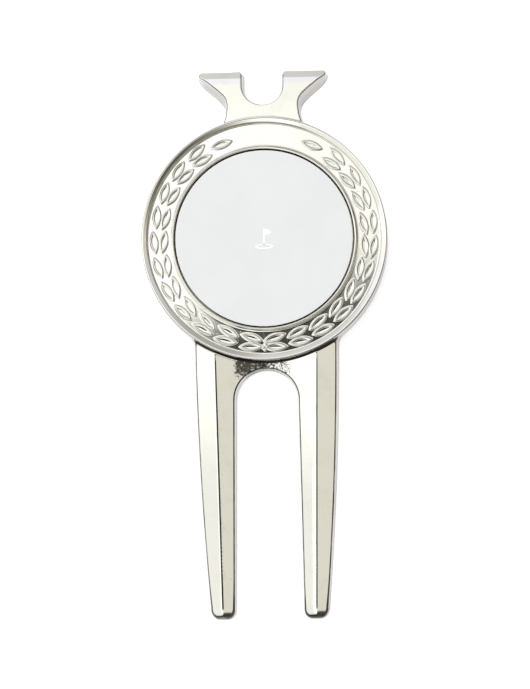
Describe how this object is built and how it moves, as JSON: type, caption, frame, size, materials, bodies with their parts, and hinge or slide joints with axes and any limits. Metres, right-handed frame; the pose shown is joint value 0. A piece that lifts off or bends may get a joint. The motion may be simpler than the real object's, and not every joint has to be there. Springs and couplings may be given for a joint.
{
  "type": "divot repair tool",
  "caption": "Two-prong divot repair tool with a wreath-bordered round head holding a magnetic ball marker, and flared horns above the head to rest a club on.",
  "frame": {"origin": "on the flat back face, on the axis of the round head", "axes": "+X to the right seen from the front, +Y along the tool from the prongs to the horns, +Z out of the front face"},
  "size_m": [0.0354, 0.0791, 0.0044],
  "materials": {
    "plated_casting": "polished bright nickel plating on a zinc die casting",
    "magnet_bond": "cured epoxy film",
    "magnet_plating": "nickel-plated magnet, fine satin",
    "marker_steel": "nickel-plated stamped steel",
    "marker_bond": "clear adhesive film",
    "marker_print": "pale grey printed disc with a smooth satin top"
  },
  "bodies": {
    "tool": {"tool_body": "plated_casting", "magnet_adhesive": "magnet_bond", "magnet": "magnet_plating"},
    "marker": {"marker_blank": "marker_steel", "marker_adhesive": "marker_bond", "marker_face": "marker_print"}
  },
  "joints": [
    {"name": "marker_lift", "type": "slide", "parent": "tool", "child": "marker", "axis": [0, 0, 1], "range_m": [0, 0.02]}
  ]
}
